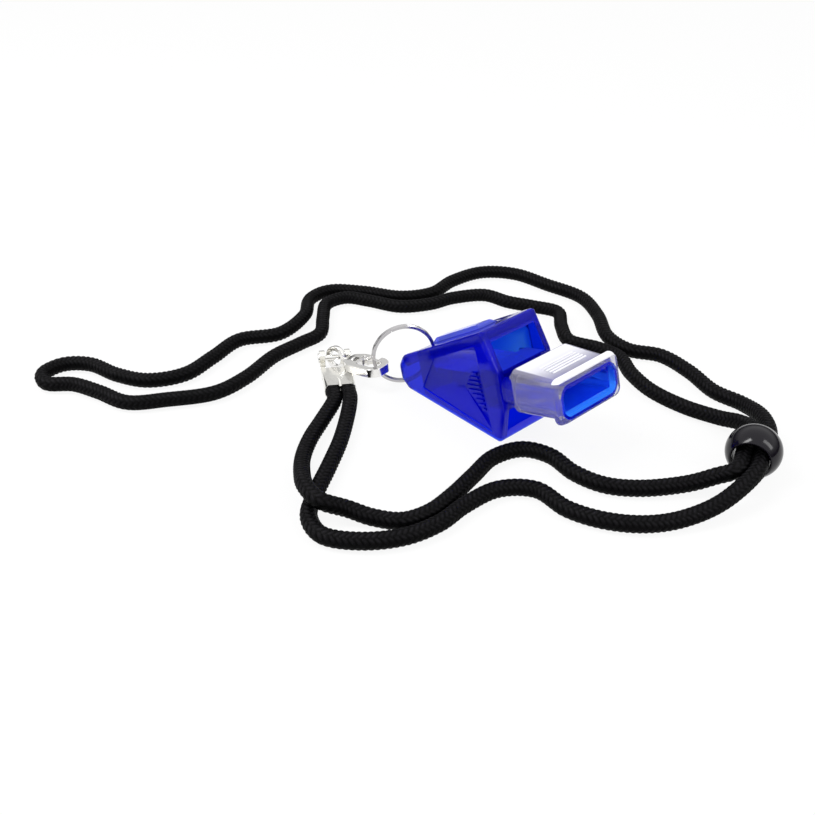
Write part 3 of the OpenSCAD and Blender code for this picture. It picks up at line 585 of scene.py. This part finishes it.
bodyPlastic = bluePlastic()
gripRubber = gripClear()
ringSteel = brightMetal("ringSteel", (0.5, 0.49, 0.5, 1), 0.12, 0.22)
claspNickel = brightMetal("claspNickel", (0.86, 0.85, 0.83, 1), 0.1, 0.22)
crimpNickel = brightMetal("crimpNickel", (0.88, 0.87, 0.83, 1), 0.12, 0.24)
beadPlastic = beadFinish()
nodeFinish = {"whistle_core": bodyPlastic, "cover_left": bodyPlastic, "cover_right": bodyPlastic,
              "mouth_grip": gripRubber, "split_ring": ringSteel, "clasp_body": claspNickel,
              "clasp_lever": claspNickel, "lever_pin": ringSteel, "lever_spring": ringSteel,
              "swivel_eye": claspNickel, "crimp": crimpNickel, "crimp_pin": claspNickel,
              "slide_bead": beadPlastic}
for name, finish in nodeFinish.items():
    paint(nodes[name], finish)
    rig.slot(nodes[name], slotOf[name])
print("finishes on")

# Moulded and pressed parts with eased edges, each over its own solid
edgeWidths = {"whistle_core": 0.15 * mm, "cover_left": 0.05 * mm, "cover_right": 0.05 * mm,
              "mouth_grip": 0.15 * mm, "clasp_body": 0.14 * mm, "clasp_lever": 0.08 * mm, "crimp": 0.07 * mm,
              "swivel_eye": 0.12 * mm, "crimp_pin": 0.1 * mm, "lever_pin": 0.08 * mm}
easeSet = {"sharpFrom": math.radians(24), "crispFrom": math.radians(50), "steps": 2, "tries": 12,
           "same": 0.01 * mm, "weldSeam": 8.48 * mm}
coverSet = {"rounding": 1.1 * mm, "roundingSteps": 5, "tailSteps": 3, "tailWindow": -15.5 * mm}


def hasRoom(edge, width):  # no short edge leaves either end sideways
    for vert in edge.verts:
        ahead = (vert.co - edge.other_vert(vert).co).normalized()
        for other in vert.link_edges:
            way = (other.other_vert(vert).co - vert.co).normalized()
            if other is not edge and abs(ahead.dot(way)) < 0.8 and other.calc_length() < 2.1 * width:
                return False
    return True


def crossings(work):  # where faces cross each other or have no area
    probe = work.copy()
    bmesh.ops.triangulate(probe, faces=probe.faces)
    probe.faces.ensure_lookup_table()
    places = [vert.co.copy() for face in probe.faces if face.calc_area() < 1e-14 for vert in face.verts]
    tree = BVHTree.FromBMesh(probe)
    for a, b in tree.overlap(tree):
        small, large = sorted((probe.faces[a], probe.faces[b]), key=lambda face: face.calc_area())
        if a < b and not set(small.verts) & set(large.verts):
            places.extend(vert.co.copy() for vert in small.verts)
    probe.free()
    return places


def isNear(edge, place, reach):
    start, end = (vert.co for vert in edge.verts)
    share = (place - start).dot(end - start) / max((end - start).length_squared, 1e-18)
    return (start + (end - start) * max(0, min(1, share)) - place).length < reach


def easeEdges(work, edges, width, steps):  # leaves out the edges where the rounding would cross itself
    work.edges.index_update()
    work.edges.ensure_lookup_table()
    chosen = sorted(edge.index for edge in edges if hasRoom(edge, width))
    for turn in range(easeSet["tries"]):
        trial = work.copy()
        trial.edges.ensure_lookup_table()
        bmesh.ops.bevel(trial, geom=[trial.edges[i] for i in chosen], offset=width, offset_type="OFFSET",
                        segments=steps, profile=0.5, affect="EDGES", clamp_overlap=False)
        bmesh.ops.dissolve_degenerate(trial, dist=0.001 * mm, edges=trial.edges)
        places = crossings(trial)
        if not places:
            work.free()
            return trial
        trial.free()
        reach = (1.2 + 0.5 * turn) * width
        chosen = [i for i in chosen if not any(isNear(work.edges[i], place, reach) for place in places)]
    return work


def sharpEdges(work):
    return [edge for edge in work.edges if len(edge.link_faces) == 2 and edge.is_convex
            and edge.calc_face_angle(0) > easeSet["sharpFrom"]]


def liesAt(edge, side):  # both ends at this distance from the whistle's middle plane
    return all(abs(abs(vert.co.y) - side) < easeSet["same"] for vert in edge.verts)


def roundedCover(work):  # a wide rounding round the outer face, and a slim one at the tail window
    outer = max(abs(vert.co.y) for vert in work.verts)
    inner = min(abs(vert.co.y) for vert in work.verts)
    innermost = inner + easeSet["same"]
    rim = [edge for edge in work.edges if liesAt(edge, outer)
           and any(abs(vert.co.y) < innermost for face in edge.link_faces for vert in face.verts)]
    work = easeEdges(work, rim, coverSet["rounding"], coverSet["roundingSteps"])
    tailEdges = [edge for edge in sharpEdges(work) if liesAt(edge, inner)
                 and all(vert.co.x < coverSet["tailWindow"] for vert in edge.verts)]
    return easeEdges(work, tailEdges, coverSet["rounding"] / 3, coverSet["tailSteps"])


def eased(name, width):
    source = nodes[name]
    mesh = source.data.copy()
    obj = addObject(name + "Eased", mesh)
    obj.matrix_world = source.matrix_world.copy()
    work = bmesh.new()
    work.from_mesh(mesh)
    bmesh.ops.remove_doubles(work, verts=work.verts, dist=0.002 * mm)
    bmesh.ops.dissolve_limit(work, angle_limit=math.radians(0.6), verts=work.verts, edges=work.edges)
    if "cover" in name:
        work = roundedCover(work)
    work = easeEdges(work, [edge for edge in sharpEdges(work) if not liesAt(edge, easeSet["weldSeam"])],
                     width, easeSet["steps"])
    crispEdges = [edge.calc_face_angle(0) >= easeSet["crispFrom"] for edge in work.edges]
    work.to_mesh(mesh)
    work.free()
    dress(obj, bodyOf[name], slotOf[name], nodeFinish[name], name)
    for edge, isCrisp in zip(mesh.edges, crispEdges):  # what stays crisp is shaded crisp
        edge.use_edge_sharp = isCrisp
    weighted = obj.modifiers.new("evenNormals", "WEIGHTED_NORMAL")
    weighted.keep_sharp = True
    weighted.weight = 90
    return obj


smoothed = {name: eased(name, width) for name, width in edgeWidths.items()}
print("edges eased")


def latheBead():  # ball with a rounded mouth at each end of its hole
    radius, hole, lip, sides = beadSet["diameter"] / 2, beadSet["hole"] / 2, beadSet["lip"], beadSet["sides"]
    reach = math.sqrt(radius ** 2 - (hole + lip) ** 2)
    start = math.atan2(hole + lip, reach)
    profile = []
    for k in range(beadSet["arcSteps"] + 1):
        a = start + (math.pi - 2 * start) * k / beadSet["arcSteps"]
        profile.append((radius * math.sin(a), radius * math.cos(a)))
    mouth = []
    for k in range(1, beadSet["lipSteps"] + 1):
        a = math.pi * 0.5 * k / beadSet["lipSteps"]
        mouth.append((hole + lip - lip * math.sin(a), -reach + lip * beadSet["lipDepth"] * (1 - math.cos(a))))
    profile += mouth + [(hole, 0)] + [(r, -z) for r, z in reversed(mouth)]
    middle, up = Vector(beadSet["place"]), Vector((0, 0, 1))
    axis = Vector((*turned(beadSet["turn"], 1, 0), 0))
    across = up.cross(axis)
    verts = []
    for r, z in profile:
        for k in range(sides):
            a = 2 * math.pi * k / sides
            verts.append(middle + axis * z + (across * math.cos(a) + up * math.sin(a)) * r)
    faces = []
    for i in range(len(profile)):
        for k in range(sides):
            low, high = i * sides, (i + 1) % len(profile) * sides
            faces.append((low + k, high + k, high + (k + 1) % sides, low + (k + 1) % sides))
    return meshPiece("slideBall", verts, faces, "slide_bead", beadPlastic)


slideBall = latheBead()
for piece, path, length, route, others in (
        (strandA, pathA, lengthA, strandARoute, [slideBall, smoothed["crimp"], smoothed["crimp_pin"]]),
        (strandB, pathB, lengthB, strandBRoute, []),
        (neckLoop, pathLoop, lengthLoop, neckLoopRoute, [])):
    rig.cord(piece, exit=route[0], length=float(length), diameter=cordSet["diameter"], far_end="object",
            stiffness="limp", lay="loose", path=path[::6].tolist() + [path[-1].tolist()], with_pieces=others)
print("cords declared")

# Table, light and background
stageSet = {"size": 4, "table": (0.9, 0.9, 0.9, 1), "glow": 0.9, "worldLight": 0.75, "roomBand": (0.12, 0.5),
            "roomLight": (0.08, 1.15)}
lampSet = {"keyLight": {"place": (-0.25, -0.35, 0.6), "size": (0.14, 0.5), "power": 3.2},
           "fillLight": {"place": (0.5, 0.2, 0.5), "size": (0.16, 0.5), "power": 1.4}}


def paleTable():  # white to the camera and in what mirrors or lets through, and still shaded
    finish = Finish("paleTable", Base_Color=stageSet["table"], Roughness=0.9)
    mirroredOrThrough = finish.larger(finish.rays("Glossy"), finish.rays("Transmission"))
    seen = finish.larger(finish.rays("Camera"), mirroredOrThrough)
    glow = finish.node("ShaderNodeEmission", inputs={"Color": (1, 1, 1, 1), "Strength": 1})
    finish.mixWith(seen * stageSet["glow"], glow)
    return finish


def makeTable():
    half = stageSet["size"] / 2
    mesh = bpy.data.meshes.new("floor")
    corners = [(-half, -half, 0), (half, -half, 0), (half, half, 0), (-half, half, 0)]
    mesh.from_pydata(corners, [], [(0, 1, 2, 3)])
    floor = addObject("floor", mesh)
    paint(floor, paleTable())
    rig.stage(floor)


def makeRoom():  # white behind the part, and a darker room in its reflections
    world = bpy.data.worlds.new("softBox")
    bpy.context.scene.world = world
    world.use_nodes = True
    room = NodeSet(world.node_tree)
    background = room.tree.nodes["Background"]
    seen = room.larger(room.rays("Camera"), room.rays("Transmission"))
    plain = room.spread(seen, 0, 1, stageSet["worldLight"], 1)
    direction = room.node("ShaderNodeTexCoord", output="Generated")
    mirrored = room.spread(room.along(direction, (0, 0, 1)), *stageSet["roomBand"], *stageSet["roomLight"])
    room.put(background.inputs["Color"], (1, 1, 1, 1))
    room.put(background.inputs["Strength"],
             room.node("ShaderNodeMix", inputs={0: room.rays("Glossy"), 2: plain, 3: mirrored}))


def makeLamp(name, place, size, power):
    data = bpy.data.lights.new(name, "AREA")
    data.shape = "RECTANGLE"
    data.size, data.size_y = size
    data.energy = power
    lamp = addObject(name, data)
    lamp.location = place
    lamp.rotation_euler = (-Vector(place)).to_track_quat("-Z", "Y").to_euler()


makeTable()
makeRoom()
for name, values in lampSet.items():
    makeLamp(name, **values)
bpy.context.scene.view_settings.view_transform = "Standard"
print("stage set")

with open("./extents.json", "w") as out:
    json.dump({"cad": [list(corner) for corner in cadBox],
               "visual": [list(corner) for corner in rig.bounds()]}, out)
